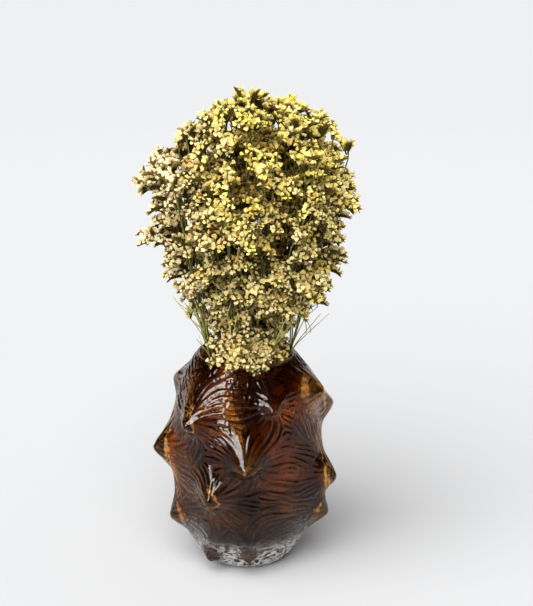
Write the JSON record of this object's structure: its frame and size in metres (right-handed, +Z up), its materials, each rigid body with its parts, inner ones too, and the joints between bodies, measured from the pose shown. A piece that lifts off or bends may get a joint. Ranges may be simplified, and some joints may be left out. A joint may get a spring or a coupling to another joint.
{
  "type": "dried flower bouquet in vase",
  "caption": "Dried statice bouquet standing loose in a blown amber glass vase with drooping hollow spikes: bare stems below the mouth, branching flower sprays above.",
  "frame": {"origin": "centre of the vase's flat foot, on the surface it stands on", "axes": "+Z up along the vase's axis, -Y is the front, +X is to the right seen from the front"},
  "size_m": [0.2395, 0.2389, 0.5239],
  "materials": {
    "amber_glass": "blown amber glass with fine flowing ripples, polished, nearly clear at the foot",
    "dried_stem": "dried olive green stem, ridged and winged, matte",
    "dried_flower": "papery dried calyces, peachy cream to lemon yellow, matte"
  },
  "bodies": {
    "root": {"vase": "amber_glass", "stem_01": "dried_stem", "spray_01": "dried_flower", "stem_02": "dried_stem", "spray_02": "dried_flower", "stem_03": "dried_stem", "spray_03": "dried_flower", "stem_04": "dried_stem", "spray_04": "dried_flower", "stem_05": "dried_stem", "spray_05": "dried_flower", "stem_06": "dried_stem", "spray_06": "dried_flower", "stem_07": "dried_stem", "spray_07": "dried_flower", "stem_08": "dried_stem", "spray_08": "dried_flower", "stem_09": "dried_stem", "spray_09": "dried_flower", "stem_10": "dried_stem", "spray_10": "dried_flower", "stem_11": "dried_stem", "spray_11": "dried_flower", "stem_12": "dried_stem", "spray_12": "dried_flower", "stem_13": "dried_stem", "spray_13": "dried_flower", "stem_14": "dried_stem", "spray_14": "dried_flower", "stem_15": "dried_stem", "spray_15": "dried_flower", "stem_16": "dried_stem", "spray_16": "dried_flower", "stem_17": "dried_stem", "spray_17": "dried_flower", "stem_18": "dried_stem", "spray_18": "dried_flower", "stem_19": "dried_stem", "spray_19": "dried_flower", "stem_20": "dried_stem", "spray_20": "dried_flower", "stem_21": "dried_stem", "spray_21": "dried_flower", "stem_22": "dried_stem", "spray_22": "dried_flower", "stem_23": "dried_stem", "spray_23": "dried_flower", "stem_24": "dried_stem", "spray_24": "dried_flower"}
  },
  "joints": []
}
